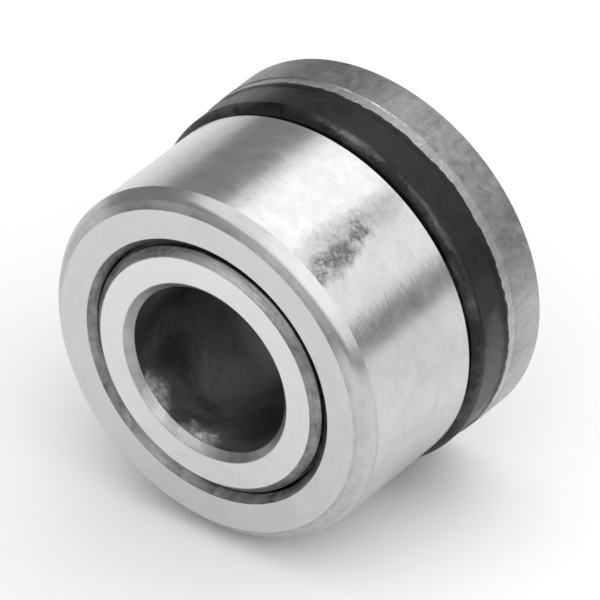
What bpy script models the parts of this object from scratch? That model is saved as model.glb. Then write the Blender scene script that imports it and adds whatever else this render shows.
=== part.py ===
"""Yoke-type cam follower with two rollers side by side on one inner ring.

The axis of rotation is Y, the front face looks along -Y, and the origin is the centre of the
inner ring. A wide ground roller runs at the front. Behind it runs a slightly larger steel tyre,
carried on a black elastomer buffer. Each of them turns on its own row of caged cylindrical
rollers, here called needles, so that it can turn freely against the other.
"""

import math

import bmesh
import bpy
from mathutils import Matrix, Vector

MM = 0.001
ROUND_STEPS = 64
NEEDLE_SIDES = 16
MERGE = 0.00001

# Driving dimensions, in millimetres. Stations are distances behind the front roller's front face.
BORE_R = 12.70
RIB_R = 18.90
INNER_RACE_R = 15.40
OUTER_RACE_R = 20.40
ROLLER_R = 27.00
ROLLER_WIDTH = 23.50
TYRE_R = 28.15
INNER_RING_LENGTH = 39.00
FACE_STAND_OUT = 0.40

# Needles: both rows share one pitch circle and one diameter.
NEEDLE_COUNT = 16
NEEDLE_R = 2.42
PITCH_R = (INNER_RACE_R + OUTER_RACE_R) / 2
CAGE_WALL = 2.40
CAGE_RIM = 1.00
WINDOW_WIDTH = 5.30
NEEDLE_END_GAP = 0.20

# Faces and chamfers of the two lipped rings and of the ribs inside them.
RIB_FACE_R = 17.80
BORE_CHAMFER = 1.10
LIP_R = 19.30
LIP_CHAMFER = 1.05
CORNER_R_START = 24.72
CORNER_DEPTH = 2.48
CORNER_SAGITTA = 0.30
CORNER_STEPS = 4
EDGE_BREAK = 0.30

# Grooves for the face seals and for the retaining rings.
SEAL_GROOVE_R = 17.40
SEAL_GROOVE_WIDTH = 1.10
SEAL_R = 19.10
SEAL_WIDTH = 0.80
SNAP_GROOVE_R = 21.40
SNAP_GROOVE_WIDTH = 1.20
SNAP_WIDTH = 1.00
SNAP_INNER_R = 19.20
SNAP_OUTER_R = 21.20
SNAP_MOUTH = 5.00

# Stations along the axis.
FRONT_RIB_BACK = 3.20
FRONT_SEAL_GROOVE = 1.50
FRONT_CAGE = (3.60, 20.60)
FRONT_SNAP_GROOVE = 20.80
GUIDE_RING = (21.00, 27.00)
REAR_RACE = (24.60, 38.00)
REAR_RACE_R = 23.00
REAR_SNAP_GROOVE = 25.95
REAR_CAGE = (27.40, 35.60)
REAR_LIP = 35.90
RACE_END = 35.80
REAR_SEAT_R = 15.00
REAR_SEAL_GROOVE = 36.60
FRONT_INNER_SEAL = (22.25, 23.15)
REAR_INNER_SEAL = (24.85, 25.75)
INNER_SEAL_R = (19.05, 20.20)

# The elastomer buffer and the tyre on it.
BUFFER = (24.30, 30.60)
BUFFER_R = 27.90
BUFFER_SHOULDER = 1.30
BUFFER_SHOULDER_SAGITTA = 0.15
SHOULDER_STEPS = 3
BUFFER_SLEEVE_R = 24.80
BUFFER_SLEEVE_END = 37.80
TYRE = (30.75, 38.30)
TYRE_LAND_END = 32.40
TYRE_LAND_DROP = 0.12

FIT_GAP = 0.20


def clear_scene():
    for old in list(bpy.data.objects):
        bpy.data.objects.remove(old, do_unlink=True)


def new_collection(name):
    group = bpy.data.collections.new(name)
    bpy.context.scene.collection.children.link(group)
    return group


def new_material(name, colour, roughness, metallic):
    made = bpy.data.materials.new(name)
    made.use_nodes = True
    shader = made.node_tree.nodes["Principled BSDF"]
    shader.inputs["Base Color"].default_value = (*colour, 1.0)
    shader.inputs["Roughness"].default_value = roughness
    shader.inputs["Metallic"].default_value = metallic
    return made


def along(station):
    """The Y coordinate, in millimetres, of a station behind the front roller's front face."""
    return station + FACE_STAND_OUT - INNER_RING_LENGTH / 2


def arc(start, end, sagitta, steps):
    """Points after start, up to and with end, on a circular arc that bulges right of the chord."""
    first, last = Vector(start), Vector(end)
    chord = last - first
    half = chord.length / 2
    radius = (half * half + sagitta * sagitta) / (2 * sagitta)
    left = Vector((-chord.y, chord.x)).normalized()
    centre = (first + last) / 2 + left * (radius - sagitta)
    spoke = first - centre
    sweep = 2 * math.asin(half / radius)
    points = []
    for step in range(1, steps + 1):
        turn = Matrix.Rotation(sweep * step / steps, 2)
        points.append(tuple(centre + turn @ spoke))
    return points


def add_object(name, mesh, material, parent, group):
    made = bpy.data.objects.new(name, mesh)
    group.objects.link(made)
    if material is not None:
        mesh.materials.append(material)
    made.parent = parent
    return made


def settle(made):
    """Applies the object's modifiers, then shades its round faces smooth and keeps its edges sharp."""
    bpy.context.view_layer.update()
    graph = bpy.context.evaluated_depsgraph_get()
    mesh = bpy.data.meshes.new_from_object(made.evaluated_get(graph))
    made.modifiers.clear()
    made.data = mesh
    mesh.shade_smooth()
    mesh.set_sharp_from_angle(angle=math.radians(30))


def turned(name, outline, material, parent, cutter=None):
    """A ring: a closed outline of (radius, station) points, turned about the Y axis."""
    area = sum(a[0] * b[1] - b[0] * a[1] for a, b in zip(outline, outline[1:] + outline[:1]))
    points = outline if area < 0 else outline[::-1]
    shape = bmesh.new()
    corners = [shape.verts.new((r * MM, along(s) * MM, 0.0)) for r, s in points]
    for a, b in zip(corners, corners[1:] + corners[:1]):
        shape.edges.new((a, b))
    mesh = bpy.data.meshes.new(name)
    shape.to_mesh(mesh)
    shape.free()
    made = add_object(name, mesh, material, parent, PARTS)
    screw = made.modifiers.new("turn", "SCREW")
    screw.axis = "Y"
    screw.angle = math.tau
    screw.steps = ROUND_STEPS
    screw.render_steps = ROUND_STEPS
    screw.use_merge_vertices = True
    screw.merge_threshold = MERGE
    if cutter is not None:
        cut = made.modifiers.new("cut", "BOOLEAN")
        cut.operation = "DIFFERENCE"
        cut.solver = "EXACT"
        cut.object = cutter
    settle(made)
    return made


def plain_ring(name, radii, stations, material, parent, cutter=None):
    """A ring of rectangular section."""
    (inner, outer), (front, back) = radii, stations
    outline = [(inner, front), (outer, front), (outer, back), (inner, back)]
    return turned(name, outline, material, parent, cutter)


def box_cutter(name, size, places):
    """Boxes of one size, given as radial, axial and tangential lengths, round the axis."""
    shape = bmesh.new()
    for radius, station, angle in places:
        turn = Matrix.Rotation(angle, 4, "Y")
        shift = Matrix.Translation((radius * MM, along(station) * MM, 0.0))
        scale = Matrix.Diagonal((size[0] * MM, size[1] * MM, size[2] * MM, 1.0))
        bmesh.ops.create_cube(shape, size=1.0, matrix=turn @ shift @ scale)
    mesh = bpy.data.meshes.new(name)
    shape.to_mesh(mesh)
    shape.free()
    made = add_object(name, mesh, None, None, CUTTERS)
    made.hide_render = True
    made.display_type = "WIRE"
    return made


def empty(name):
    made = bpy.data.objects.new(name, None)
    PARTS.objects.link(made)
    return made


def inner_ring():
    """The long ring that everything turns on, with its front rib, both raceways and the rear seat."""
    front = -FACE_STAND_OUT
    back = front + INNER_RING_LENGTH
    rib_shoulder = front + RIB_R - RIB_FACE_R
    groove_end = FRONT_SEAL_GROOVE + SEAL_GROOVE_WIDTH
    outline = [
        (BORE_R, front + BORE_CHAMFER),
        (BORE_R + BORE_CHAMFER, front),
        (RIB_FACE_R, front),
        (RIB_R, rib_shoulder),
        (RIB_R, FRONT_SEAL_GROOVE),
        (SEAL_GROOVE_R, FRONT_SEAL_GROOVE),
        (SEAL_GROOVE_R, groove_end),
        (RIB_R, groove_end),
        (RIB_R, FRONT_RIB_BACK),
        (INNER_RACE_R, FRONT_RIB_BACK),
        (INNER_RACE_R, RACE_END),
        (REAR_SEAT_R, RACE_END),
        (REAR_SEAT_R, back),
        (BORE_R + BORE_CHAMFER, back),
        (BORE_R, back - BORE_CHAMFER),
    ]
    turned("inner_ring", outline, GROUND_STEEL, None)


def guide_ring():
    """The rib between the two rows, held on the raceway's middle."""
    front, back = GUIDE_RING
    inner = INNER_RACE_R + FIT_GAP
    outline = [
        (inner, front),
        (RIB_R - EDGE_BREAK, front),
        (RIB_R, front + EDGE_BREAK),
        (RIB_R, back - EDGE_BREAK),
        (RIB_R - EDGE_BREAK, back),
        (inner, back),
    ]
    turned("middle_guide_ring", outline, GROUND_STEEL, None)


def side_ring():
    """The loose rib pressed on the inner ring's rear seat, a mirror image of the front rib."""
    front = RACE_END + FIT_GAP
    back = INNER_RING_LENGTH - FACE_STAND_OUT
    inner = REAR_SEAT_R + FIT_GAP
    groove_end = REAR_SEAL_GROOVE + SEAL_GROOVE_WIDTH
    outline = [
        (inner, front),
        (RIB_R, front),
        (RIB_R, REAR_SEAL_GROOVE),
        (SEAL_GROOVE_R, REAR_SEAL_GROOVE),
        (SEAL_GROOVE_R, groove_end),
        (RIB_R, groove_end),
        (RIB_FACE_R, back),
        (inner, back),
    ]
    turned("rear_side_ring", outline, GROUND_STEEL, None)


def face_seals():
    """The two black seals that close the narrow gaps between the ribs and the lips."""
    margin = (SEAL_GROOVE_WIDTH - SEAL_WIDTH) / 2
    radii = (SEAL_GROOVE_R + FIT_GAP, SEAL_R)
    for name, groove in (("front_face_seal", FRONT_SEAL_GROOVE), ("rear_face_seal", REAR_SEAL_GROOVE)):
        stations = (groove + margin, groove + margin + SEAL_WIDTH)
        plain_ring(name, radii, stations, BLACK_RUBBER, None)


def front_roller(parent):
    """The wide ground roller, with its rounded front corner, its lip and its raceway."""
    corner_start = (CORNER_R_START, 0.0)
    corner_end = (ROLLER_R, CORNER_DEPTH)
    groove_end = FRONT_SNAP_GROOVE + SNAP_GROOVE_WIDTH
    mouth = 2 * EDGE_BREAK
    outline = [
        (LIP_R, LIP_CHAMFER),
        (LIP_R + LIP_CHAMFER, 0.0),
        corner_start,
        *arc(corner_start, corner_end, CORNER_SAGITTA, CORNER_STEPS),
        (ROLLER_R, ROLLER_WIDTH - EDGE_BREAK),
        (ROLLER_R - EDGE_BREAK, ROLLER_WIDTH),
        (OUTER_RACE_R + mouth, ROLLER_WIDTH),
        (OUTER_RACE_R, ROLLER_WIDTH - mouth),
        (OUTER_RACE_R, groove_end),
        (SNAP_GROOVE_R, groove_end),
        (SNAP_GROOVE_R, FRONT_SNAP_GROOVE),
        (OUTER_RACE_R, FRONT_SNAP_GROOVE),
        (OUTER_RACE_R, FRONT_RIB_BACK),
        (LIP_R, FRONT_RIB_BACK),
    ]
    turned("front_roller", outline, GROUND_STEEL, parent)


def rear_race_ring(parent):
    """The steel ring that carries the buffer and the tyre, open at the front and lipped behind."""
    front, back = REAR_RACE
    groove_end = REAR_SNAP_GROOVE + SNAP_GROOVE_WIDTH
    mouth = EDGE_BREAK
    outline = [
        (OUTER_RACE_R, front + mouth),
        (OUTER_RACE_R + mouth, front),
        (REAR_RACE_R, front),
        (REAR_RACE_R, back - EDGE_BREAK),
        (REAR_RACE_R - EDGE_BREAK, back),
        (LIP_R + LIP_CHAMFER, back),
        (LIP_R, back - LIP_CHAMFER),
        (LIP_R, REAR_LIP),
        (OUTER_RACE_R, REAR_LIP),
        (OUTER_RACE_R, groove_end),
        (SNAP_GROOVE_R, groove_end),
        (SNAP_GROOVE_R, REAR_SNAP_GROOVE),
        (OUTER_RACE_R, REAR_SNAP_GROOVE),
    ]
    turned("rear_race_ring", outline, GROUND_STEEL, parent)


def buffer_ring(parent):
    """The black elastomer ring: a thick band in front of the tyre, and a sleeve under it."""
    front, back = BUFFER
    inner = REAR_RACE_R + FIT_GAP
    shoulder_start = (BUFFER_R - BUFFER_SHOULDER, front)
    shoulder_end = (BUFFER_R, front + BUFFER_SHOULDER)
    outline = [
        (inner, front),
        shoulder_start,
        *arc(shoulder_start, shoulder_end, BUFFER_SHOULDER_SAGITTA, SHOULDER_STEPS),
        (BUFFER_R, back),
        (BUFFER_SLEEVE_R, back),
        (BUFFER_SLEEVE_R, BUFFER_SLEEVE_END),
        (inner, BUFFER_SLEEVE_END),
    ]
    turned("buffer_ring", outline, BLACK_RUBBER, parent)


def rear_tyre(parent):
    """The matt steel tyre, the largest piece, with a narrow bright land along its front edge."""
    front, back = TYRE
    inner = BUFFER_SLEEVE_R + FIT_GAP
    land = TYRE_R - TYRE_LAND_DROP
    outline = [
        (inner, front),
        (land, front),
        (land, TYRE_LAND_END),
        (TYRE_R, TYRE_LAND_END + TYRE_LAND_DROP),
        (TYRE_R, back - EDGE_BREAK),
        (TYRE_R - EDGE_BREAK, back),
        (inner + EDGE_BREAK, back),
        (inner, back - EDGE_BREAK),
    ]
    turned("rear_tyre", outline, MATT_STEEL, parent)


def retaining_ring(name, groove, parent):
    """A spring-steel ring with an open mouth, which sits in its groove and keeps the cage in."""
    margin = (SNAP_GROOVE_WIDTH - SNAP_WIDTH) / 2
    middle = groove + SNAP_GROOVE_WIDTH / 2
    size = (4 * (SNAP_OUTER_R - SNAP_INNER_R), 2 * SNAP_WIDTH, SNAP_MOUTH)
    mouth = box_cutter(f"{name}_mouth", size, [(SNAP_OUTER_R, middle, 0.0)])
    stations = (groove + margin, groove + margin + SNAP_WIDTH)
    plain_ring(name, (SNAP_INNER_R, SNAP_OUTER_R), stations, SPRING_STEEL, parent, mouth)


def needle_row(side, cage_stations, parent):
    """A cage, with a window for each needle, and the needles, each turning on its own axis."""
    front, back = cage_stations
    middle = (front + back) / 2
    window_length = back - front - 2 * CAGE_RIM
    needle_length = window_length - 2 * NEEDLE_END_GAP
    angles = [math.tau * k / NEEDLE_COUNT for k in range(NEEDLE_COUNT)]
    places = [(PITCH_R, middle, angle) for angle in angles]
    size = (3 * CAGE_WALL, window_length, WINDOW_WIDTH)
    windows = box_cutter(f"{side}_cage_windows", size, places)
    radii = (PITCH_R - CAGE_WALL / 2, PITCH_R + CAGE_WALL / 2)
    cage = plain_ring(f"{side}_cage", radii, cage_stations, CAGE_POLYAMIDE, parent, windows)

    shape = bmesh.new()
    bmesh.ops.create_cone(
        shape,
        cap_ends=True,
        segments=NEEDLE_SIDES,
        radius1=NEEDLE_R * MM,
        radius2=NEEDLE_R * MM,
        depth=needle_length * MM,
        matrix=Matrix.Rotation(math.radians(90), 4, "X"),
    )
    mesh = bpy.data.meshes.new(f"{side}_needle")
    shape.to_mesh(mesh)
    shape.free()
    mesh.shade_smooth()
    mesh.set_sharp_from_angle(angle=math.radians(40))
    mesh.materials.append(ROLLING_STEEL)
    for k, angle in enumerate(angles, start=1):
        needle = add_object(f"{side}_needle_{k:02d}", mesh, None, cage, PARTS)
        centre = Matrix.Rotation(angle, 3, "Y") @ Vector((PITCH_R, 0.0, 0.0))
        needle.location = (centre.x * MM, along(middle) * MM, centre.z * MM)
        needle.rotation_euler = (0.0, angle, 0.0)


clear_scene()
PARTS = new_collection("cam_follower")
CUTTERS = new_collection("cutters")
GROUND_STEEL = new_material("ground_steel", (0.72, 0.72, 0.72), 0.28, 1.0)
MATT_STEEL = new_material("matt_steel", (0.42, 0.42, 0.42), 0.55, 1.0)
ROLLING_STEEL = new_material("rolling_steel", (0.80, 0.80, 0.80), 0.15, 1.0)
SPRING_STEEL = new_material("spring_steel", (0.16, 0.16, 0.17), 0.40, 1.0)
BLACK_RUBBER = new_material("black_rubber", (0.035, 0.035, 0.037), 0.45, 0.0)
CAGE_POLYAMIDE = new_material("cage_polyamide", (0.05, 0.05, 0.055), 0.50, 0.0)

inner_ring()
guide_ring()
side_ring()
face_seals()

FRONT_AXIS = empty("front_roller_axis")
front_roller(FRONT_AXIS)
retaining_ring("front_retaining_ring", FRONT_SNAP_GROOVE, FRONT_AXIS)
plain_ring("front_inner_seal", INNER_SEAL_R, FRONT_INNER_SEAL, BLACK_RUBBER, FRONT_AXIS)

REAR_AXIS = empty("rear_roller_axis")
rear_race_ring(REAR_AXIS)
buffer_ring(REAR_AXIS)
rear_tyre(REAR_AXIS)
retaining_ring("rear_retaining_ring", REAR_SNAP_GROOVE, REAR_AXIS)
plain_ring("rear_inner_seal", INNER_SEAL_R, REAR_INNER_SEAL, BLACK_RUBBER, REAR_AXIS)

needle_row("front", FRONT_CAGE, empty("front_cage_axis"))
needle_row("rear", REAR_CAGE, empty("rear_cage_axis"))
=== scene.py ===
"""Looks of a yoke-type cam follower: finely turned steel rings, black elastomer and studio light.

Every ring is rebuilt from the section of its CAD solid, with rounded edges and a fine turn, so each
piece lies where the frame says. The axis of rotation is Y, and the front face looks along -Y.
"""

import math

import bmesh
import bpy
import numpy as np
from mathutils import Matrix, Vector, noise


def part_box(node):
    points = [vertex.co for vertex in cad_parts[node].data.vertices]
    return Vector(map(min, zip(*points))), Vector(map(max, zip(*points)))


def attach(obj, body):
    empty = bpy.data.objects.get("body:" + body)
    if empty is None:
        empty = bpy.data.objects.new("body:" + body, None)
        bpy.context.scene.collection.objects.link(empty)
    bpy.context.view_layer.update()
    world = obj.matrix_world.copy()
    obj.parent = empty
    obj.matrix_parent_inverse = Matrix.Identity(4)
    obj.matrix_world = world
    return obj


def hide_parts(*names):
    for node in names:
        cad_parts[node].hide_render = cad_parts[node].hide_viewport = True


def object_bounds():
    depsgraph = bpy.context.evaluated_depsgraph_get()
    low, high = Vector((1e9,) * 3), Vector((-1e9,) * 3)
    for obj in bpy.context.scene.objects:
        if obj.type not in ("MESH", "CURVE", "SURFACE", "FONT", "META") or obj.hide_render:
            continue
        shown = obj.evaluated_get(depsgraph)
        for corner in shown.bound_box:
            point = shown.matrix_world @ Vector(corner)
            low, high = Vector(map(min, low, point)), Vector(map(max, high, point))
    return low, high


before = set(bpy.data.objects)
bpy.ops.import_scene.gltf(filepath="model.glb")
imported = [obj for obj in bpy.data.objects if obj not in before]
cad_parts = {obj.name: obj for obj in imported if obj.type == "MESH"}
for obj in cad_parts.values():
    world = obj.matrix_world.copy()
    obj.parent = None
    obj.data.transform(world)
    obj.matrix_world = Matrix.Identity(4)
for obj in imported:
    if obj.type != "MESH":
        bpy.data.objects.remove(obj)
CAD_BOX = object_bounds()

MM = 0.001

TURN_STEPS = 192
EDGE_ROUND = 0.12 * MM
WORN_EDGE_ROUND = 0.3 * MM
FILLET_STEPS = 3
GENTLE_STEPS = 2
GENTLE_TURN = math.radians(20)
SHARP_EDGE = math.radians(35)
CREASE_HALF_FLAT = 0.25 * MM
TOUCH = 0.004 * MM
# A vertex this near the plane Z = 0 belongs to the section, whose corners are rounded to so many
# digits of a metre.
ON_PLANE = 1e-7
OUTLINE_DIGITS = 7
# A corner's rounding takes at most this share of its shorter edge.
CORNER_SHARE = 0.45

# The black ring's flash: its gap over the land and in front of the tyre, its reach and its root.
LIP_STEPS = 768
LIP_OVER_LAND = 0.01 * MM
LIP_THICKNESS = 0.04 * MM
LIP_REACH = 0.17 * MM
LIP_LEAST_REACH = 0.02 * MM
LIP_TYRE_GAP = 0.05 * MM
LIP_ROOT = 0.6 * MM
LIP_SHOULDER = 0.1 * MM
# How ragged its edge is: (waves over the unit sphere, depth in mm).
LIP_WAVES = ((7.0, 0.22), (26.0, 0.28), (110.0, 0.09))

SPRING_TIP = 0.3 * MM
SPRING_TIP_SIZES = (0.7, 0.93)
SPRING_EDGE_ROUND = 0.15 * MM

NEEDLE_SEGMENTS = 40
NEEDLE_CORNER = 0.3 * MM
NEEDLE_CORNER_STEPS = 3
NEEDLE_CORNER_PROFILE = 0.6
WINDOW_END_GAP = 0.2 * MM
WINDOW_SIDE_GAP = 0.23 * MM
WINDOW_CUTS = 6
BAR_CUTS = 3
CAGE_EDGE = 0.15 * MM
CAGE_EDGE_STEPS = 2
CAGE_SHARP_EDGE = math.radians(50)


# --- sections of the CAD rings -----------------------------------------------------------------


def section_area(outline):
    return sum(a[0] * b[1] - b[0] * a[1] for a, b in zip(outline, outline[1:] + outline[:1]))


def cad_outline(node, side=1):
    """The section of a turned CAD solid: its (radius, y) corners in metres, anticlockwise."""
    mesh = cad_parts[node].data
    corner_of = {}
    for vertex in mesh.vertices:
        x, y, z = vertex.co
        if x * side > 0 and abs(z) < ON_PLANE:
            corner_of[vertex.index] = (round(x * side, OUTLINE_DIGITS), round(y, OUTLINE_DIGITS))
    nexts = {}
    for edge in mesh.edges:
        a, b = (corner_of.get(index) for index in edge.vertices)
        if a is not None and b is not None and a != b:
            nexts.setdefault(a, set()).add(b)
            nexts.setdefault(b, set()).add(a)
    start = min(nexts)
    outline, before, here = [start], None, start
    while True:
        onward = [corner for corner in sorted(nexts[here]) if corner != before]
        before, here = here, onward[0]
        if here == start:
            break
        outline.append(here)
    return outline if section_area(outline) > 0 else outline[::-1]


def rounded(outline, edge=EDGE_ROUND):
    """Points and outward normals of an anticlockwise outline with its corners rounded.

    edge is the radius of the corners that stick out. A gentle corner belongs to a drawn arc, so it
    is rounded as widely as its edges allow.
    """
    corners = [Vector(corner) for corner in outline]
    points, normals = [], []
    for before, here, after in zip(corners[-1:] + corners[:-1], corners, corners[1:] + corners[:1]):
        come, go = here - before, after - here
        room = min(come.length, go.length)
        come.normalize()
        go.normalize()
        turn = math.atan2(come.cross(go), come.dot(go))
        gentle = abs(turn) < GENTLE_TURN
        radius = edge if turn > 0 else EDGE_ROUND
        cut = room / 2 if gentle else min(radius * math.tan(abs(turn) / 2), room * CORNER_SHARE)
        first, last = here - come * cut, here + go * cut
        side = Vector((-come.y, come.x)) * math.copysign(1, turn)
        steps = GENTLE_STEPS if gentle else FILLET_STEPS
        for step in range(steps + 1):
            share = step / steps
            spin = Matrix.Rotation(turn * share, 2)
            if gentle:
                point = first.lerp(here, share).lerp(here.lerp(last, share), share)
            else:
                centre = first + side * cut / math.tan(abs(turn) / 2)
                point = centre + spin @ (first - centre)
            along = spin @ come
            points.append(point)
            normals.append(Vector((along.y, -along.x)))
    return points, normals


def turn_mesh(name, points, normals, steps=TURN_STEPS):
    """A closed section turned once round Y, with exact normals."""
    count = len(points)
    angles = np.arange(steps) * (math.tau / steps)
    cosines, sines = np.cos(angles)[:, None], np.sin(angles)[:, None]
    flat = np.ones((steps, 1))
    radius, height = np.array([tuple(point) for point in points]).T
    out, up = np.array([tuple(normal) for normal in normals]).T
    places = np.stack([radius * cosines, height * flat, -radius * sines], axis=-1).reshape(-1, 3)
    facing = np.stack([out * cosines, up * flat, -out * sines], axis=-1).reshape(-1, 3)
    faces = []
    for k in range(steps):
        here, there = k * count, (k + 1) % steps * count
        for i in range(count):
            j = (i + 1) % count
            faces.append((here + i, there + i, there + j, here + j))
    mesh = bpy.data.meshes.new(name)
    mesh.from_pydata(places.tolist(), [], faces)
    mesh.shade_smooth()
    mesh.normals_split_custom_set_from_vertices(facing.tolist())
    return mesh


def open_ring_mesh(name, points, mouth):
    """A section turned round Y with an open mouth at +X and tapered ends."""
    count = len(points)
    centre = sum(points, Vector((0.0, 0.0))) / count
    half = mouth / 2
    lead = SPRING_TIP / centre.x
    angles = [half, half + lead]
    angles += list(np.linspace(half + 2 * lead, math.tau - half - 2 * lead, TURN_STEPS))
    angles += [math.tau - half - lead, math.tau - half]
    sizes = [*SPRING_TIP_SIZES, *[1.0] * TURN_STEPS, *SPRING_TIP_SIZES[::-1]]
    shape = bmesh.new()
    rings = []
    for angle, size in zip(angles, sizes):
        ring = []
        for point in points:
            radius, y = centre.lerp(point, size)
            ring.append(shape.verts.new((radius * math.cos(angle), y, -radius * math.sin(angle))))
        rings.append(ring)
    for here, there in zip(rings, rings[1:]):
        for i in range(count):
            j = (i + 1) % count
            shape.faces.new((here[i], there[i], there[j], here[j]))
    shape.faces.new(rings[0])
    shape.faces.new(rings[-1][::-1])
    bmesh.ops.recalc_face_normals(shape, faces=shape.faces)
    mesh = bpy.data.meshes.new(name)
    shape.to_mesh(mesh)
    shape.free()
    mesh.shade_smooth()
    mesh.set_sharp_from_angle(angle=SHARP_EDGE)
    return mesh


def settle(name, mesh, node, body, slot, *materials):
    """Places a piece: it stands for its CAD node, rides on its body and wears its materials."""
    piece = bpy.data.objects.new(name, mesh)
    bpy.context.scene.collection.objects.link(piece)
    if not mesh.materials:
        for material in materials:
            mesh.materials.append(material)
    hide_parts(node)
    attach(piece, body)
    return piece


# --- materials ---------------------------------------------------------------------------------

# Most of a noise's values lie between these two.
NOISE_LOW, NOISE_HIGH = 0.3, 0.7

# How far the tool marks shift with the radius, so that a flat face has them too.
MARKS_BY_RADIUS = 1.37


class Net:
    """Short calls that add nodes to one material."""

    def __init__(self, name):
        self.material = bpy.data.materials.new(name)
        self.material.use_nodes = True
        self.tree = self.material.node_tree
        self.shader = self.tree.nodes["Principled BSDF"]

    def add(self, kind, *inputs, **settings):
        made = self.tree.nodes.new(kind)
        for key, value in settings.items():
            setattr(made, key, value)
        for socket, value in zip(made.inputs, inputs):
            self.feed(socket, value)
        return made

    def feed(self, socket, value):
        if isinstance(value, bpy.types.NodeSocket):
            self.tree.links.new(value, socket)
        elif value is not None:
            socket.default_value = value

    def set(self, **values):
        for key, value in values.items():
            self.feed(self.shader.inputs[key.replace("_", " ")], value)

    def math(self, operation, *values):
        return self.add("ShaderNodeMath", *values, operation=operation).outputs[0]

    def spread(self, value, low, high, to_low, to_high):
        """Maps low..high onto to_low..to_high, and holds it there."""
        return self.add("ShaderNodeMapRange", value, low, high, to_low, to_high).outputs[0]

    def sway(self, value, to_low, to_high):
        """Maps a noise's usual range onto to_low..to_high."""
        return self.spread(value, NOISE_LOW, NOISE_HIGH, to_low, to_high)

    def most(self, first, *others):
        """The largest of some values."""
        for other in others:
            first = self.math("MAXIMUM", first, other)
        return first

    def noise(self, vector, scale, detail=4.0, rough=0.55, warp=0.0):
        made = self.add("ShaderNodeTexNoise")
        self.feed(made.inputs["Vector"], vector)
        made.inputs["Scale"].default_value = scale
        made.inputs["Detail"].default_value = detail
        made.inputs["Roughness"].default_value = rough
        made.inputs["Distortion"].default_value = warp
        return made.outputs["Fac"]

    def vector(self, x, y, z):
        return self.add("ShaderNodeCombineXYZ", x, y, z).outputs[0]

    def grey(self, value):
        return self.add("ShaderNodeCombineColor", value, value, value).outputs[0]

    def place(self):
        """The point in object space, its x, y and z, and its distance from the axis."""
        coordinate = self.add("ShaderNodeTexCoord").outputs["Object"]
        x, y, z = self.add("ShaderNodeSeparateXYZ", coordinate).outputs
        around = self.add("ShaderNodeVectorMath", self.vector(x, 0.0, z), operation="LENGTH")
        return coordinate, x, y, z, around.outputs["Value"]

    def lathe(self, x, y, z, radius, across, along):
        """Coordinates that change fast across the tool marks and slowly along them."""
        line = self.math("ADD", y, self.math("MULTIPLY", radius, MARKS_BY_RADIUS))
        line = self.math("MULTIPLY", line, across)
        return self.vector(line, self.math("MULTIPLY", x, along), self.math("MULTIPLY", z, along))

    def bump(self, height, strength, distance):
        made = self.add("ShaderNodeBump")
        made.inputs["Strength"].default_value = strength
        made.inputs["Distance"].default_value = distance
        self.feed(made.inputs["Height"], height)
        self.set(Normal=made.outputs[0])


# Where a patch starts and stops falling, and how far a ragged edge wanders, in squared half sizes.
PATCH_EDGE = (0.1, 1.2)
PATCH_RAGGED = 0.7


def angle_round_axis(net, x, z):
    """The angle round the axis, from straight up (+Z) towards the right (+X), in radians."""
    return net.math("ARCTAN2", x, z)


def patch(net, angle, y, centre, half_size, ragged=None, edge=PATCH_EDGE):
    """1 in the middle of an oval patch on a cylinder, falling to 0 at its edge.

    The centre is (degrees round the axis, y), and the half size is (degrees, millimetres along the
    axis). The edge is where the fall starts and ends, and ragged is a noise that makes it uneven.
    """
    turned_by = net.math("SUBTRACT", angle, math.radians(centre[0]))
    turned_by = net.math("WRAP", turned_by, math.pi, -math.pi)
    across = net.math("DIVIDE", turned_by, math.radians(half_size[0]))
    along = net.math("DIVIDE", net.math("SUBTRACT", y, centre[1]), half_size[1] * MM)
    reach = net.math("ADD", net.math("MULTIPLY", across, across), net.math("MULTIPLY", along, along))
    if ragged is not None:
        reach = net.math("ADD", reach, net.sway(ragged, -PATCH_RAGGED, PATCH_RAGGED))
    return net.spread(reach, edge[0], edge[1], 1.0, 0.0)


# How deep the bump of a finish reaches.
FINE_RELIEF = 0.01 * MM
MIDDLE_RELIEF = 0.02 * MM
COARSE_RELIEF = 0.03 * MM

# The tone's swing over the tool marks; what full wear leaves of the tone, adds to the roughness, and
# weighs in the relief; what full grime and painted shade leave of the tone.
LINE_DEPTH = 0.02
WEAR_DARKEST = 0.25
WEAR_ROUGHNESS = 0.15
WEAR_RELIEF = 4.0
GRIME_AND_SHADE_DARKEST = 0.6
GRIND_ANISOTROPY = 0.3


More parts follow.
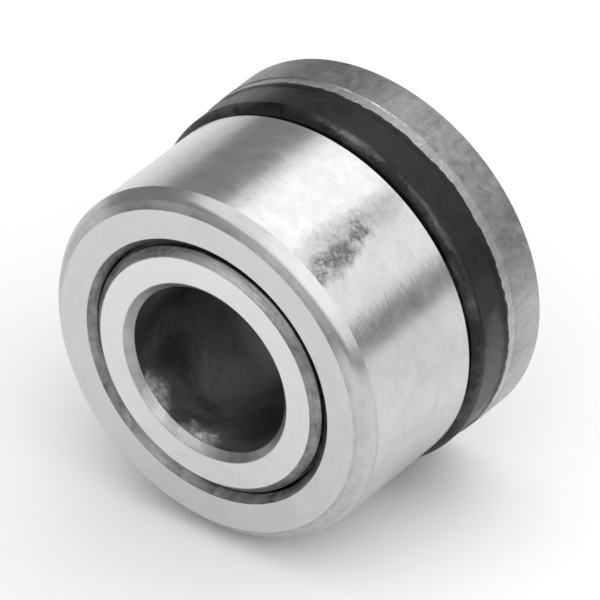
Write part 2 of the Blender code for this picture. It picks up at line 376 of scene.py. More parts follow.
def ground_steel(name, tone, roughness, marks=1.0, wear=None, clouds=0.025):
    """Ground hardened steel: fine marks round the axis and faint clouds.

    wear(net, place, x, y, z) may return how dull a point is, from 0 to 1.
    """
    net = Net(name)
    place, x, y, z, radius = net.place()
    fine = net.noise(net.lathe(x, y, z, radius, 7000.0, 160.0), 1.0, 3.0, 0.6)
    broad = net.noise(net.lathe(x, y, z, radius, 1200.0, 90.0), 1.0, 4.0, 0.6)
    cloud = net.noise(place, 200.0, 5.0, 0.6, 0.4)
    lines = [net.sway(grooves, -LINE_DEPTH, LINE_DEPTH) for grooves in (fine, broad)]
    lines = net.math("MULTIPLY", net.math("ADD", *lines), marks)
    value = net.math("ADD", lines, net.sway(cloud, tone - clouds, tone + clouds))
    rough = net.math("ADD", lines, net.sway(cloud, roughness * 0.88, roughness * 1.15))
    relief = net.math("ADD", fine, broad)
    if wear is not None:
        dull = wear(net, place, x, y, z)
        relief = net.math("ADD", relief, net.math("MULTIPLY", dull, WEAR_RELIEF))
        value = net.math("MULTIPLY", value, net.spread(dull, 0.0, 1.0, 1.0, WEAR_DARKEST))
        rough = net.math("ADD", rough, net.math("MULTIPLY", dull, WEAR_ROUGHNESS))
    net.set(Base_Color=net.grey(value), Roughness=rough, Metallic=1.0)
    net.shader.inputs["Anisotropic"].default_value = GRIND_ANISOTROPY
    tangent = net.add("ShaderNodeTangent", direction_type="RADIAL", axis="Y")
    net.feed(net.shader.inputs["Tangent"], tangent.outputs[0])
    net.bump(relief, 0.2 * marks, FINE_RELIEF)
    return net.material


def turned_steel(name, tone, roughness, spread=0.06, relief=0.3, grime_and_shade=None, polish_and_reflection=None):
    """Turned and heat-treated steel, left unground: darker, with coarser marks and blotches.

    Its first optional function, called with (net, place, x, y, z), may return how much a point is
    darkened by grime and painted shade, from 0 to 1, and its second how much paler it is made by wear
    and painted reflection.
    """
    net = Net(name)
    place, x, y, z, radius = net.place()
    marks = net.noise(net.lathe(x, y, z, radius, 3500.0, 220.0), 1.0, 4.0, 0.65)
    blotch = net.noise(place, 500.0, 6.0, 0.65, 0.8)
    value = net.sway(blotch, tone - spread, tone + spread)
    value = net.math("ADD", value, net.sway(marks, -spread, spread))
    if grime_and_shade is not None:
        dirt_and_shade = net.spread(grime_and_shade(net, place, x, y, z), 0.0, 1.0, 1.0, GRIME_AND_SHADE_DARKEST)
        value = net.math("MULTIPLY", value, dirt_and_shade)
    if polish_and_reflection is not None:
        value = net.math("ADD", value, polish_and_reflection(net, place, x, y, z))
    net.set(Base_Color=net.grey(value), Metallic=1.0)
    net.set(Roughness=net.sway(blotch, roughness - 0.16 * relief, roughness + 0.26 * relief))
    net.bump(marks, relief, MIDDLE_RELIEF)
    return net.material


def scaled_steel(name, tone, roughness):
    """The bore's dark heat-treatment scale, with painted shade deeper in and soft patches of painted
    reflection near the front edge.
    """
    net = Net(name)
    place, x, y, z, _ = net.place()
    cloud = net.noise(place, 130.0, 4.0, 0.55, 0.5)
    grain = net.noise(place, 1500.0, 4.0, 0.65)
    angle = angle_round_axis(net, x, z)
    ragged = net.noise(place, 420.0, 6.0, 0.7, 0.6)
    start = FRONT_Y + BORE_REFLECTION_DEPTH
    # Pale patches of painted reflection near the front edge.
    pale_patches = [patch(net, angle, y, (spot, start), BORE_REFLECTION_SIZE, ragged, BORE_REFLECTION_EDGE) for spot in BORE_REFLECTIONS]
    pale_patch = net.math("MULTIPLY", net.most(*pale_patches), net.spread(grain, 0.35, 0.65, 0.3, 1.0))
    scale = net.sway(cloud, tone * 0.5, tone * 1.5)
    scale = net.math("ADD", scale, net.spread(grain, 0.35, 0.75, 0.0, tone * 0.3))
    # Painted shade, deepening into the bore.
    depth = net.spread(y, FRONT_Y, FRONT_Y + BORE_DARK_DEPTH, BORE_FRONT_TONE, BORE_DEEP_TONE)
    scale = net.math("MULTIPLY", scale, depth)
    net.set(Base_Color=net.grey(net.math("ADD", scale, net.math("MULTIPLY", pale_patch, BORE_REFLECTION_TONE))))
    net.set(Metallic=net.spread(pale_patch, 0.0, 1.0, 1.0, BORE_REFLECTION_METAL))
    net.set(Roughness=net.sway(cloud, roughness - 0.04, roughness + 0.1))
    net.bump(grain, 0.25, MIDDLE_RELIEF)
    return net.material


def matt_steel(name, tone, roughness, rim=None):
    """Soft-turned, tumbled steel: blotchy grey, with small pits and faint turning marks."""
    net = Net(name)
    place, x, y, z, radius = net.place()
    blotch = net.noise(place, 300.0, 6.0, 0.65, 0.8)
    grain = net.noise(place, 2400.0, 3.0, 0.6)
    marks = net.noise(net.lathe(x, y, z, radius, 4000.0, 160.0), 1.0, 3.0, 0.6)
    streaks = net.noise(net.lathe(x, y, z, radius, 150.0, 900.0), 1.0, 3.0, 0.6)
    value = net.sway(blotch, tone * 0.7, tone * 1.3)
    value = net.math("ADD", value, net.sway(grain, -0.03, 0.03))
    value = net.math("ADD", value, net.spread(streaks, 0.35, 0.65, -0.1 * tone, 0.1 * tone))
    if rim is not None:
        value = net.math("ADD", value, rim(net, place, x, y, z))
    net.set(Base_Color=net.grey(value), Metallic=1.0)
    net.set(Roughness=net.sway(blotch, roughness - 0.05, roughness + 0.07))
    net.bump(net.math("ADD", grain, net.math("MULTIPLY", marks, 0.5)), 0.3, COARSE_RELIEF)
    return net.material


# How much grey the dust and the painted sheen add to the tone and to the roughness.
DUST_AND_SHEEN_TONE = 0.16
DUST_AND_SHEEN_ROUGHNESS = 0.2
RUBBER_SPECULAR = 0.22


def black_rubber(name, tone, roughness, dust_and_sheen=None):
    """Moulded black elastomer: satin, finely grained, with a little grey dust and a painted sheen."""
    net = Net(name)
    place, x, y, z, radius = net.place()
    grain = net.noise(place, 3000.0, 4.0, 0.6)
    cloud = net.noise(place, 260.0, 6.0, 0.65, 0.8)
    drag = net.noise(net.lathe(x, y, z, radius, 2500.0, 90.0), 1.0, 3.0, 0.6)
    value = net.sway(cloud, tone * 0.3, tone * 2.2)
    rough = net.sway(cloud, roughness - 0.1, roughness + 0.16)
    if dust_and_sheen is not None:
        grey = dust_and_sheen(net, place, x, y, z, radius)
        value = net.math("ADD", value, net.math("MULTIPLY", grey, DUST_AND_SHEEN_TONE))
        rough = net.math("ADD", rough, net.math("MULTIPLY", grey, DUST_AND_SHEEN_ROUGHNESS))
    net.set(Base_Color=net.grey(value), Roughness=rough, Metallic=0.0)
    net.shader.inputs["Specular IOR Level"].default_value = RUBBER_SPECULAR
    net.bump(net.math("ADD", grain, drag), 0.25, COARSE_RELIEF)
    return net.material


def moulded_plastic(name, tone, roughness):
    """Glass-filled polyamide for the cages."""
    net = Net(name)
    place = net.place()[0]
    fibre = net.noise(place, 1800.0, 4.0, 0.7, 0.8)
    net.set(Base_Color=net.grey(net.sway(fibre, tone * 0.7, tone * 1.4)), Metallic=0.0)
    net.set(Roughness=net.sway(fibre, roughness, roughness + 0.15))
    net.bump(fibre, 0.2, MIDDLE_RELIEF)
    return net.material


# --- where things are, from the frame ----------------------------------------------------------


def span(node):
    """A node's front and rear y, and its outer radius."""
    low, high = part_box(node)
    return low.y, high.y, high.x


FRONT_Y, ROLLER_BACK_Y, ROLLER_RADIUS = span("front_roller")
RING_FRONT_Y, RING_BACK_Y, RIB_RADIUS = span("inner_ring")
BUFFER_FRONT_Y, _, BUFFER_RADIUS = span("buffer_ring")
TYRE_FRONT_Y, TYRE_BACK_Y, TYRE_RADIUS = span("rear_tyre")
BORE_RADIUS = min(radius for radius, y in cad_outline("inner_ring"))
CORNER_INNER_RADIUS = max(radius for radius, y in cad_outline("front_roller") if y < FRONT_Y + TOUCH)
TYRE_STEP = [corner for corner in cad_outline("rear_tyre") if MM < corner[1] - TYRE_FRONT_Y < 3 * MM]
LAND_RADIUS, LAND_BACK_Y = min(corner for corner in TYRE_STEP if corner[0] > TYRE_RADIUS - MM)

# How far the finishes of the chamfers and the corner reach.
BORE_CHAMFER = 1.15 * MM
RING_CHAMFER = 1.2 * MM
ROLLER_CHAMFER = 1.3 * MM
CORNER_OVERLAP = 0.1 * MM

# Places of wear, stains, dust, painted shade and painted light are degrees round the axis, from
# straight up towards the right. Sizes are half sizes, in degrees round the axis and millimetres along it.

# The bore's pale patches near its front edge are painted reflection.
BORE_REFLECTIONS = (-132.0, -170.0)
BORE_REFLECTION_DEPTH = 0.9 * MM
BORE_REFLECTION_SIZE = (14.0, 2.8)
BORE_REFLECTION_EDGE = (-0.3, 1.3)
BORE_REFLECTION_TONE = 0.6
BORE_REFLECTION_METAL = 0.2
# The bore's front chamfer is painted paler as a reflection at the bore's places.
CHAMFER_REFLECTION_SIZE = (17.0, 1.6)
CHAMFER_REFLECTION_TONE = 0.12

# The bore darkens from its front edge to this depth, as painted shade: what its tone is multiplied by at
# both.
BORE_DARK_DEPTH = 18 * MM
BORE_FRONT_TONE, BORE_DEEP_TONE = 1.7, 0.45

# The inner ring's front chamfer is worn pale here.
RING_WORN = 2.0
RING_WORN_SIZE = (34.0, 0.9)
RING_WORN_TONE = 0.22

# The stains on the roller: (degrees, mm behind its face), size, how dark.
ROLLER_STAINS = (
    ((37.4, 6.2), (4.3, 6.4), 0.95),
    ((35.2, 13.2), (3.0, 1.6), 0.7),
    ((34.0, 8.5), (7.5, 7.5), 0.5),
    ((33.5, 18.0), (5.0, 7.5), 0.45),
)
STAIN_EDGE = (0.0, 1.5)

# The band of short scuffs on the roller.
SCUFFS = (59.0, 11.0)
SCUFFS_SIZE = (6.5, 14.0)
SCUFFS_DEPTH = 0.34

# The dark line along the edge of the roller's face fades between these, in mm behind the face.
CORNER_EDGE_FADE = (0.1, 0.5)
# The roller's front corner is mottled and darkened with painted shade here, with a thin line of painted
# shade behind the mottled stretch.
CORNER_MOTTLED_SHADE = 120.0
CORNER_MOTTLED_SHADE_SIZE = (50.0, 1.2)
CORNER_MOTTLED_SHADE_DEPTH = 0.4 * MM
CORNER_LINE_SIZE = (50.0, 0.25)
CORNER_LINE_DEPTH = 2.45 * MM
CORNER_LINE_SHADE = 0.45
# It is darkened here with painted shade.
CORNER_LEFT_SHADE = -66.0
CORNER_LEFT_SHADE_SIZE = (27.0, 3.0)
CORNER_LEFT_SHADE_DEPTH = 1.2 * MM
CORNER_LEFT_SHADE_STRENGTH = 0.75

# The tyre: a painted reflection, paler, low on the right near its back, and a painted highlight along the
# step behind its land.
TYRE_REFLECTION = 115.0
TYRE_REFLECTION_SIZE = (42.0, 9.0)
TYRE_REFLECTION_EDGE = (0.0, 1.3)
TYRE_REFLECTION_TONE = 0.2
# The painted highlight along the step rises between the first two and falls between the last two, in mm
# behind the land.
STEP_LINE = (-0.1, -0.02, 0.08, 0.16)
# Where the step's painted highlight is strong and where it is faint, and how bright the faint one is.
TYRE_STEP_HIGHLIGHT = 12.0
TYRE_STEP_HIGHLIGHT_SIZE = (17.0, 3.0)
TYRE_FAINT_HIGHLIGHT = 32.0
TYRE_FAINT_HIGHLIGHT_SIZE = (40.0, 3.0)
TYRE_FAINT_HIGHLIGHT_TONE = 0.35
# How much paler the land is, and how much more its specks glint under the step's painted highlight.
LAND_TONE = 0.09
LAND_SPECKS = 0.8

# The black ring's front shoulder: (place, half width in degrees, how grey).
SHOULDER_RUBS = ((12.0, 13.0, 2.3), (45.0, 15.0, 1.3))
SHOULDER_RUB_DEPTH = 1.1 * MM
SHOULDER_RUB_LENGTH = 0.9
# The scuffs fade out between these, in mm inside the rim.
SHOULDER_FADE = (0.3, 0.02)
# Its rim: (place, half width in degrees); dust at the second place, and a painted sheen at the first.
RIM_DUST_AND_SHEEN = ((-34.0, 15.0), (105.0, 26.0))
RIM_DUST_AND_SHEEN_DEPTH = 3.6 * MM
RIM_DUST_AND_SHEEN_LENGTH = 3.6


# --- wear, stains and dust that belong to one place --------------------------------------------


def roller_wear(net, place, x, y, z):
    """A mottled stain near the front corner and a fainter one behind it, a band of short scuffs,
    and smudges and fine pits everywhere."""
    angle = angle_round_axis(net, x, z)
    cloud = net.noise(place, 260.0, 5.0, 0.65, 0.8)
    torn = net.noise(place, 600.0, 6.0, 0.7, 0.3)
    mottle = net.spread(net.noise(place, 1500.0, 5.0, 0.75), 0.34, 0.7, 0.35, 1.0)
    depth = 0.0
    for (turn, behind), half_size, strength in ROLLER_STAINS:
        stain = patch(net, angle, y, (turn, FRONT_Y + behind * MM), half_size, torn, STAIN_EDGE)
        depth = net.math("ADD", depth, net.math("MULTIPLY", stain, strength))
    depth = net.math("MULTIPLY", depth, mottle)
    stroke = net.noise(net.lathe(x, y, z, 0.0, 2600.0, 620.0), 1.0, 2.0, 0.5)
    band = patch(net, angle, y, (SCUFFS[0], FRONT_Y + SCUFFS[1] * MM), SCUFFS_SIZE, cloud)
    scuff = net.math("MULTIPLY", net.spread(stroke, 0.47, 0.6, 0.0, SCUFFS_DEPTH), band)
    smudge = net.spread(cloud, 0.45, 0.75, 0.0, 0.16)
    pits = net.spread(net.noise(place, 2400.0, 2.0, 0.5), 0.65, 0.73, 0.0, 0.25)
    return net.math("MINIMUM", net.math("ADD", net.most(depth, scuff, pits), smudge), 1.0)


def corner_grime_and_shade(net, place, x, y, z):
    """A broken darker line along the edge between the roller's face and its corner, a wider and
    mottled one of painted shade low on the right, a thin line of painted shade there along the edge
    to the cylinder, and a stretch of painted shade on the left."""
    torn = net.noise(place, 300.0, 5.0, 0.65, 0.5)
    fade_start, fade_end = (FRONT_Y + behind * MM for behind in CORNER_EDGE_FADE)
    edge = net.spread(y, fade_start, fade_end, 1.0, 0.15)
    line = net.math("MULTIPLY", edge, net.spread(torn, 0.38, 0.62, 0.0, 0.7))
    angle = angle_round_axis(net, x, z)
    # Mottled painted shade low on the right.
    low = patch(net, angle, y, (CORNER_MOTTLED_SHADE, FRONT_Y + CORNER_MOTTLED_SHADE_DEPTH), CORNER_MOTTLED_SHADE_SIZE, torn)
    mottle = net.spread(net.noise(place, 900.0, 5.0, 0.7), 0.4, 0.62, 0.1, 0.6)
    mottle = net.math("MULTIPLY", low, mottle)
    # A thin line of painted shade along the edge to the cylinder.
    rim = patch(net, angle, y, (CORNER_MOTTLED_SHADE, FRONT_Y + CORNER_LINE_DEPTH), CORNER_LINE_SIZE)
    rim = net.math("MULTIPLY", rim, CORNER_LINE_SHADE)
    # A stretch of painted shade on the left.
    dull = patch(net, angle, y, (CORNER_LEFT_SHADE, FRONT_Y + CORNER_LEFT_SHADE_DEPTH), CORNER_LEFT_SHADE_SIZE, torn)
    dull = net.math("MULTIPLY", dull, CORNER_LEFT_SHADE_STRENGTH)
    return net.most(line, mottle, rim, dull)


def bore_edge_reflection(net, place, x, y, z):
    """The bore's front chamfer, painted paler as a reflection at the same places as the bore's patches."""
    angle = angle_round_axis(net, x, z)
    torn = net.noise(place, 700.0, 5.0, 0.7, 0.5)
    pale_patches = [patch(net, angle, y, (spot, FRONT_Y), CHAMFER_REFLECTION_SIZE, torn) for spot in BORE_REFLECTIONS]
    return net.math("MULTIPLY", net.most(*pale_patches), CHAMFER_REFLECTION_TONE)


def ring_polish(net, place, x, y, z):
    """The inner ring's front chamfer, worn paler near the face at the top."""
    angle = angle_round_axis(net, x, z)
    torn = net.noise(place, 500.0, 5.0, 0.65, 0.5)
    worn = patch(net, angle, y, (RING_WORN, RING_FRONT_Y), RING_WORN_SIZE, torn)
    return net.math("MULTIPLY", worn, RING_WORN_TONE)


def tyre_rim(net, place, x, y, z):
    """Paler, speckled metal on the land, a broken painted highlight along its step that makes the specks
    near it glint more, and a painted reflection, paler, low on the right near the back.
    """
    region = net.noise(place, 60.0, 3.0, 0.5)
    speck = net.spread(net.noise(place, 1800.0, 4.0, 0.65), 0.57, 0.68, 0.0, 0.45)
    speck = net.math("MULTIPLY", speck, net.spread(region, 0.42, 0.6, 0.15, 1.0))
    wander = net.spread(net.noise(place, 110.0, 4.0, 0.6), 0.46, 0.6, 0.0, 1.0)
    rise_start, rise_end, fall_start, fall_end = (LAND_BACK_Y + behind * MM for behind in STEP_LINE)
    on_land = net.spread(y, rise_start, LAND_BACK_Y, 1.0, 0.0)
    on_step = net.spread(y, rise_start, rise_end, 0.0, 1.0)
    off_step = net.spread(y, fall_start, fall_end, 1.0, 0.0)
    angle = angle_round_axis(net, x, z)
    # A painted reflection: paler low on the right near the back.
    reflection_patch = patch(net, angle, y, (TYRE_REFLECTION, TYRE_BACK_Y), TYRE_REFLECTION_SIZE, region, TYRE_REFLECTION_EDGE)
    # Painted highlights along the step: strong near the top, faint further round to the right.
    step_highlight = patch(net, angle, y, (TYRE_STEP_HIGHLIGHT, LAND_BACK_Y), TYRE_STEP_HIGHLIGHT_SIZE, region)
    faint_highlight = patch(net, angle, y, (TYRE_FAINT_HIGHLIGHT, LAND_BACK_Y), TYRE_FAINT_HIGHLIGHT_SIZE, region)
    crumbs = net.spread(net.noise(place, 700.0, 4.0, 0.6), 0.42, 0.58, 0.1, 0.55)
    thin = net.math("MULTIPLY", net.math("MULTIPLY", faint_highlight, wander), TYRE_FAINT_HIGHLIGHT_TONE)
    step_highlights = net.most(net.math("MULTIPLY", step_highlight, crumbs), thin)
    step = net.math("MULTIPLY", net.math("MULTIPLY", on_step, off_step), step_highlights)
    speck = net.math("ADD", speck, net.math("MULTIPLY", net.math("MULTIPLY", step_highlight, speck), LAND_SPECKS))
    land = net.math("MULTIPLY", on_land, net.math("ADD", speck, LAND_TONE))
    rim = net.math("ADD", land, step)
    return net.math("ADD", rim, net.math("MULTIPLY", reflection_patch, TYRE_REFLECTION_TONE))


def shoulder_dust_and_sheen(net, place, x, y, z, radius):
    """Grey scuffs round the buffer's front shoulder, mostly in a few places, and dust and a painted sheen
    on its rim.
    """
    angle = angle_round_axis(net, x, z)
    drag = net.noise(net.lathe(x, y, z, 0.0, 2600.0, 260.0), 1.0, 6.0, 0.75)
    soft = net.noise(place, 500.0, 6.0, 0.7, 0.5)
    where = net.spread(net.noise(place, 90.0, 3.0, 0.5), 0.52, 0.7, 0.0, 0.6)
    for spot, half, strength in SHOULDER_RUBS:
        centre = (spot, BUFFER_FRONT_Y + SHOULDER_RUB_DEPTH)
        pale_patch = patch(net, angle, y, centre, (half, SHOULDER_RUB_LENGTH), soft)
        where = net.most(where, net.math("MULTIPLY", pale_patch, strength))
    fade_start, fade_end = (BUFFER_RADIUS - inside * MM for inside in SHOULDER_FADE)
    shoulder = net.spread(radius, fade_start, fade_end, 1.0, 0.06)
    where = net.math("MULTIPLY", where, shoulder)
    scuff = net.spread(soft, 0.35, 0.65, 0.2, 1.0)
    scuff = net.math("MULTIPLY", scuff, net.spread(drag, 0.4, 0.62, 0.15, 1.0))
    # Dust on the rim, and a painted sheen on its upper left.
    rim_dust_and_sheen_patches = []
    for spot, half in RIM_DUST_AND_SHEEN:
        centre = (spot, BUFFER_FRONT_Y + RIM_DUST_AND_SHEEN_DEPTH)
        rim_dust_and_sheen_patches.append(patch(net, angle, y, centre, (half, RIM_DUST_AND_SHEEN_LENGTH), soft))
    rim_dust_and_sheen = net.math("MULTIPLY", net.most(*rim_dust_and_sheen_patches), net.sway(soft, 0.2, 0.6))
    return net.most(net.math("MULTIPLY", scuff, where), rim_dust_and_sheen)


# Each finish: its name, tone and roughness, then what its function asks for besides.
CYLINDER_STEEL = ground_steel("roller_steel", 0.58, 0.2, 0.6, roller_wear, 0.05)
ROLLER_FACE_STEEL = ground_steel("roller_face_steel", 0.6, 0.3, 0.7)
RING_FACE_STEEL = ground_steel("ring_face_steel", 0.7, 0.3, 0.7)
CORNER_STEEL = turned_steel("corner_steel", 0.53, 0.24, 0.03, 0.12, corner_grime_and_shade)
CHAMFER_STEEL = turned_steel("chamfer_steel", 0.24, 0.36, 0.09)
RING_CHAMFER_STEEL = turned_steel("ring_chamfer_steel", 0.24, 0.36, 0.09, polish_and_reflection=ring_polish)
BORE_CHAMFER_STEEL = turned_steel("bore_chamfer_steel", 0.38, 0.36, 0.06, polish_and_reflection=bore_edge_reflection)
BORE_STEEL = scaled_steel("bore_scale", 0.16, 0.42)
RACE_STEEL = ground_steel("race_steel", 0.62, 0.16, 0.6)
NEEDLE_STEEL = ground_steel("needle_steel", 0.68, 0.12, 0.5)
SPRING_STEEL = matt_steel("spring_steel", 0.14, 0.4)
TYRE_STEEL = matt_steel("tyre_steel", 0.25, 0.42, tyre_rim)
BUFFER_RUBBER = black_rubber("buffer_rubber", 0.009, 0.36, shoulder_dust_and_sheen)
SEAL_RUBBER = black_rubber("seal_rubber", 0.06, 0.5)
CAGE_PLASTIC = moulded_plastic("cage_plastic", 0.05, 0.45)


# --- rings -------------------------------------------------------------------------------------


def at_radius(wanted):
    return lambda radius, y: abs(radius - wanted) < TOUCH


def at_face(*wanted):
    return lambda radius, y: min(abs(y - face) for face in wanted) < TOUCH


def beyond_radius(limit):
    return lambda radius, y: radius > limit


def inside_radius(limit):
    return lambda radius, y: radius < limit


def dress(mesh, count, points, finishes):
    """Gives each stretch of a turned section the first finish whose test it meets, or slot 0."""
    slots = []
    for here, there in zip(points, points[1:] + points[:1]):
        radius, y = (here + there) / 2
        hits = [index for index, test in enumerate(finishes, start=1) if test(radius, y)]
        slots.append(hits[0] if hits else 0)
    mesh.polygons.foreach_set("material_index", slots * count)


def turned(name, node, body, slot, material, finishes=(), outline=None, edge=EDGE_ROUND, steps=TURN_STEPS):
    """A turned ring. finishes are (test, material) for the stretches that differ from the rest."""
    points, normals = rounded(outline or cad_outline(node), edge)
    mesh = turn_mesh(name, points, normals, steps)
    piece = settle(name, mesh, node, body, slot, material, *(finish for test, finish in finishes))
    dress(mesh, steps, points, [test for test, finish in finishes])
    return piece


def core_rings():
    """The inner ring, its loose ribs and the seals that stay with it."""
    ring_finishes = [
        (at_face(RING_FRONT_Y, RING_BACK_Y), RING_FACE_STEEL),
        (at_radius(BORE_RADIUS), BORE_STEEL),
        (inside_radius(BORE_RADIUS + BORE_CHAMFER), BORE_CHAMFER_STEEL),
        (beyond_radius(RIB_RADIUS - RING_CHAMFER), RING_CHAMFER_STEEL),
    ]
    turned(
        "inner_ring_ground", "inner_ring", "core", "ground_steel", RACE_STEEL,
        ring_finishes, edge=WORN_EDGE_ROUND,
    )
    turned("guide_ring_ground", "middle_guide_ring", "core", "ground_steel", RACE_STEEL)
    side_front, side_back, _ = span("rear_side_ring")
    side_finishes = [(at_face(side_front, side_back), RING_FACE_STEEL)]
    turned("side_ring_ground", "rear_side_ring", "core", "ground_steel", CHAMFER_STEEL, side_finishes)
    turned("front_face_seal_lip", "front_face_seal", "core", "black_rubber", SEAL_RUBBER)
    turned("rear_face_seal_lip", "rear_face_seal", "core", "black_rubber", SEAL_RUBBER)


def creased_corner(outline):
    """Draws the front corner as two facets: they meet at the middle one of the arc's points, where
    a short flat softens the crease."""
    low, high = CORNER_INNER_RADIUS + TOUCH, ROLLER_RADIUS - TOUCH
    drawn = [corner for corner in outline if low < corner[0] < high and corner[1] < 0]
    crease = Vector(drawn[len(drawn) // 2])
    first, last = outline.index(drawn[0]), outline.index(drawn[-1])
    before, after = Vector(outline[first - 1]), Vector(outline[(last + 1) % len(outline)])
    flat = [crease + (end - crease).normalized() * CREASE_HALF_FLAT for end in (before, after)]
    kept = [corner for corner in outline if corner not in drawn]
    place = kept.index(tuple(outline[first - 1])) + 1
    return kept[:place] + [tuple(corner) for corner in flat] + kept[place:]


def front_roller_rings():
    finishes = [
        (at_face(FRONT_Y, ROLLER_BACK_Y), ROLLER_FACE_STEEL),
        (at_radius(ROLLER_RADIUS), CYLINDER_STEEL),
        (beyond_radius(CORNER_INNER_RADIUS - CORNER_OVERLAP), CORNER_STEEL),
        (lambda radius, y: y < FRONT_Y + ROLLER_CHAMFER, CHAMFER_STEEL),
    ]
    body = "front_roller"
    outline = creased_corner(cad_outline("front_roller"))
    turned("front_roller_ground", "front_roller", body, "ground_steel", RACE_STEEL, finishes, outline)
    turned("front_inner_seal_lip", "front_inner_seal", body, "black_rubber", SEAL_RUBBER)


def rear_roller_rings():
    back = span("rear_race_ring")[1]
    finishes = [(at_face(back), RING_FACE_STEEL)]
    turned("rear_race_ground", "rear_race_ring", "rear_roller", "ground_steel", RACE_STEEL, finishes)
    turned("rear_tyre_turned", "rear_tyre", "rear_roller", "matt_steel", TYRE_STEEL)
    turned("rear_inner_seal_lip", "rear_inner_seal", "rear_roller", "black_rubber", SEAL_RUBBER)


def buffer_with_lip():
    """The elastomer ring, with a thin ragged flash that laps onto the tyre's land."""
    under = LAND_RADIUS + LIP_OVER_LAND
    top = under + LIP_THICKNESS
    lip_y = TYRE_FRONT_Y + LIP_REACH
    gap_y = TYRE_FRONT_Y - LIP_TYRE_GAP
    root = BUFFER_RADIUS - LIP_ROOT
    outline = cad_outline("buffer_ring")
    rim = [corner for corner in outline if abs(corner[0] - BUFFER_RADIUS) < TOUCH]
    edge = max(rim, key=lambda corner: corner[1])
    place = outline.index(edge)
    lip = [(BUFFER_RADIUS, edge[1] - LIP_ROOT), (top, edge[1] - LIP_SHOULDER), (top, lip_y), (under, lip_y)]
    lip += [(under, gap_y), (root, gap_y), (root, edge[1])]
    piece = turned(
        "buffer_moulded", "buffer_ring", "rear_roller", "black_rubber", BUFFER_RUBBER,
        outline=outline[:place] + lip + outline[place + 1 :], steps=LIP_STEPS,
    )
    for vertex in piece.data.vertices:
        x, y, z = vertex.co
        if y > TYRE_FRONT_Y and math.hypot(x, z) > LAND_RADIUS:
            around = Vector((x, 0.0, z)).normalized()
            ragged = sum(noise.noise(around * pitch) * depth for pitch, depth in LIP_WAVES)
            vertex.co.y = max(y + ragged * MM, TYRE_FRONT_Y + LIP_LEAST_REACH)


def retaining_ring(side):
    """The sprung ring beside a row's cage, with its mouth where the CAD has it."""
    node = f"{side}_retaining_ring"
    points, _ = rounded(cad_outline(node, side=-1), SPRING_EDGE_ROUND)
    mesh_of_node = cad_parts[node].data
    opening = min(abs(math.atan2(v.co.z, v.co.x)) for v in mesh_of_node.vertices)
    mesh = open_ring_mesh(f"{node}_sprung", points, 2 * opening)
    settle(f"{node}_sprung", mesh, node, f"{side}_roller", "spring_steel", SPRING_STEEL)


# --- needles and cages -------------------------------------------------------------------------


def needle_mesh(name, radius, length):
    """A hardened roller along Y, with rounded corners at both ends."""
    shape = bmesh.new()
    upright = Matrix.Rotation(math.radians(90), 4, "X")
    bmesh.ops.create_cone(
        shape, cap_ends=True, segments=NEEDLE_SEGMENTS,
        radius1=radius, radius2=radius, depth=length, matrix=upright,
    )
    rims = [edge for edge in shape.edges if abs(edge.verts[0].co.y - edge.verts[1].co.y) < TOUCH]
    bmesh.ops.bevel(
        shape, geom=rims, affect="EDGES",
        offset=NEEDLE_CORNER, segments=NEEDLE_CORNER_STEPS, profile=NEEDLE_CORNER_PROFILE,
    )
    mesh = bpy.data.meshes.new(name)
    shape.to_mesh(mesh)
    shape.free()
    mesh.shade_smooth()
    mesh.set_sharp_from_angle(angle=SHARP_EDGE)
    return mesh


def needle_row(side):
    """The needles of one row share a mesh, and each rides on its own body."""
    names = sorted(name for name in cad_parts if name.startswith(f"{side}_needle_"))
    low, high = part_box(names[0])
    centre = (low + high) / 2
    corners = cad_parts[names[0]].data.vertices
    reach = max(math.hypot(v.co.x - centre.x, v.co.z - centre.z) for v in corners)
    mesh = needle_mesh(f"{side}_needle_ground", reach, high.y - low.y)
    for name in names:
        low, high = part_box(name)
        piece = settle(f"{name}_ground", mesh, name, name, "rolling_steel", NEEDLE_STEEL)
        piece.location = (low + high) / 2
    return centre, reach, high.y - low.y, len(names)


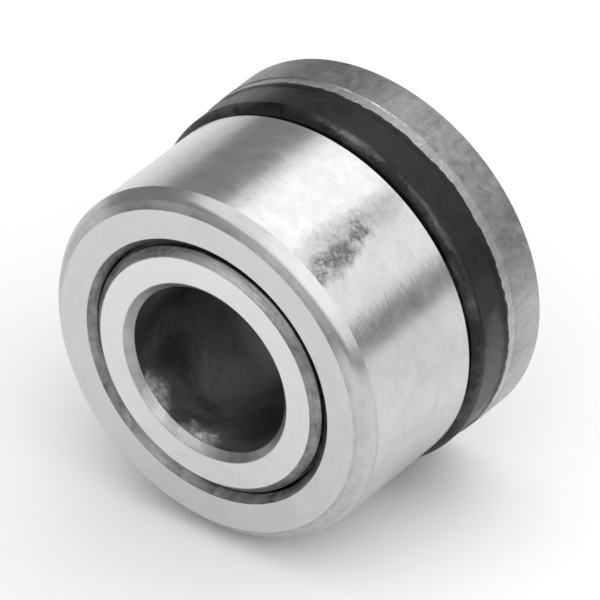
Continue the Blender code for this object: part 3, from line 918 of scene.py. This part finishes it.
def cage(side, centre, reach, length, count):
    """A one-piece cage: a sheet with a window for each needle, thickened and rounded."""
    node = f"{side}_cage"
    low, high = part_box(node)
    corners = [v.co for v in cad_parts[node].data.vertices]
    ends = [co for co in corners if min(co.y - low.y, high.y - co.y) < TOUCH]
    inner = min(math.hypot(co.x, co.z) for co in ends)
    wall = high.x - inner
    middle = inner + wall / 2
    half_window = math.asin((reach + WINDOW_SIDE_GAP) / middle)
    pitch = math.tau / count
    window_end = length / 2 + WINDOW_END_GAP
    # The windows are in the middle one of the three rows of faces between these.
    rows = [low.y, centre.y - window_end, centre.y + window_end, high.y]
    shape = bmesh.new()
    cuts = []
    for k in range(count):
        start = k * pitch - half_window
        for cut in range(WINDOW_CUTS + 1):
            cuts.append((start + 2 * half_window * cut / WINDOW_CUTS, cut < WINDOW_CUTS))
        bar = pitch - 2 * half_window
        for cut in range(1, BAR_CUTS):
            cuts.append((start + 2 * half_window + bar * cut / BAR_CUTS, False))
    grid = [
        [shape.verts.new((middle * math.cos(angle), y, -middle * math.sin(angle))) for y in rows]
        for angle, _ in cuts
    ]
    for i, (_, opens) in enumerate(cuts):
        here, there = grid[i], grid[(i + 1) % len(cuts)]
        for row in range(len(rows) - 1):
            if not (opens and row == 1):
                shape.faces.new((here[row], there[row], there[row + 1], here[row + 1]))
    for line in grid:
        for vertex in line:
            if not vertex.link_faces:
                shape.verts.remove(vertex)
    bmesh.ops.recalc_face_normals(shape, faces=shape.faces)
    mesh = bpy.data.meshes.new(f"{node}_moulded")
    shape.to_mesh(mesh)
    shape.free()
    piece = settle(f"{node}_moulded", mesh, node, node, "cage_polyamide", CAGE_PLASTIC)
    thicken = piece.modifiers.new("wall", "SOLIDIFY")
    thicken.thickness = wall
    thicken.offset = 0.0
    soften = piece.modifiers.new("edges", "BEVEL")
    soften.width = CAGE_EDGE
    soften.segments = CAGE_EDGE_STEPS
    soften.limit_method = "ANGLE"
    soften.angle_limit = CAGE_SHARP_EDGE
    mesh.shade_smooth()


core_rings()
front_roller_rings()
rear_roller_rings()
buffer_with_lip()
for side in ("front", "rear"):
    retaining_ring(side)
    cage(side, *needle_row(side))


# --- stage: floor, light and camera ------------------------------------------------------------

CAMERA_AZIMUTH = math.radians(36.7)
CAMERA_ELEVATION = math.radians(35.8)
CAMERA_DISTANCE = 1.2
CAMERA_LENS = 528.0
SENSOR_WIDTH = 36.0
AIM = Vector((0.0, 2.1 * MM, 0.0))
AIM_BELOW_AXIS = 0.2 * MM
CAMERA_SIGHT = 20.0

FLOOR_SIDE = 8.0
FLOOR_GAP = 0.02 * MM
FLOOR_TONE = 0.96
FLOOR_ROUGHNESS = 0.9
SKY_RADIANCE = 0.3

# Each panel: the way to it from the object, its half width and height in degrees, its radiance.
PANELS = {
    "ceiling_panel": ((0.333, 0.024, 0.943), (61.4, 61.4), 1.0),
    "rear_key_panel": ((-0.03, 0.64, 0.77), (16.0, 16.0), 0.4),
    "front_panel": ((0.45, -0.5, 0.75), (25.0, 25.0), 0.35),
    "front_fill_panel": ((-0.2, -0.93, 0.3), (45.0, 14.0), 0.3),
    "low_left_panel": ((-0.755, 0.65, 0.08), (25.0, 5.0), 0.45),
}
PANEL_DISTANCE = 1.5


def direction(azimuth, elevation):
    """From the object towards a viewer at that azimuth and elevation."""
    level = math.cos(elevation)
    return Vector((math.sin(azimuth) * level, -math.cos(azimuth) * level, math.sin(elevation)))


def look_at(thing, target):
    thing.rotation_euler = (target - thing.location).to_track_quat("-Z", "Y").to_euler()


def add_panel(name, toward, half_angles, radiance):
    """An oval soft light facing the object, as bright as its radiance says at any size."""
    light = bpy.data.lights.new(name, "AREA")
    light.shape = "ELLIPSE"
    light.size, light.size_y = (2 * PANEL_DISTANCE * math.tan(math.radians(half)) for half in half_angles)
    area = math.pi * light.size * light.size_y / 4
    light.energy = radiance * math.pi * area
    panel = bpy.data.objects.new(name, light)
    bpy.context.scene.collection.objects.link(panel)
    panel.location = Vector(toward).normalized() * PANEL_DISTANCE
    look_at(panel, Vector((0.0, 0.0, 0.0)))


def add_floor():
    low, _ = CAD_BOX
    mesh = bpy.data.meshes.new("floor")
    half = FLOOR_SIDE / 2
    corners = [(-half, -half, 0), (half, -half, 0), (half, half, 0), (-half, half, 0)]
    mesh.from_pydata(corners, [], [(0, 1, 2, 3)])
    floor = bpy.data.objects.new("floor", mesh)
    bpy.context.scene.collection.objects.link(floor)
    floor.location.z = low.z - FLOOR_GAP
    net = Net("floor_paper")
    net.set(Base_Color=(FLOOR_TONE, FLOOR_TONE, FLOOR_TONE, 1.0), Roughness=FLOOR_ROUGHNESS)
    mesh.materials.append(net.material)


def add_world():
    world = bpy.data.worlds.new("studio")
    bpy.context.scene.world = world
    world.use_nodes = True
    back = world.node_tree.nodes["Background"]
    back.inputs["Color"].default_value = (1.0, 1.0, 1.0, 1.0)
    back.inputs["Strength"].default_value = SKY_RADIANCE


def add_camera():
    camera = bpy.data.cameras.new("camera")
    camera.lens = CAMERA_LENS
    camera.sensor_width = SENSOR_WIDTH
    camera.clip_end = CAMERA_SIGHT
    eye = bpy.data.objects.new("camera", camera)
    bpy.context.scene.collection.objects.link(eye)
    away = direction(CAMERA_AZIMUTH, CAMERA_ELEVATION)
    right = Vector((math.cos(CAMERA_AZIMUTH), math.sin(CAMERA_AZIMUTH), 0.0))
    target = AIM - away.cross(right) * AIM_BELOW_AXIS
    eye.location = target + away * CAMERA_DISTANCE
    look_at(eye, target)
    bpy.context.scene.camera = eye


add_floor()
add_world()
add_camera()
for name, (toward, half_angles, radiance) in PANELS.items():
    add_panel(name, toward, half_angles, radiance)
bpy.context.scene.view_settings.view_transform = "Standard"
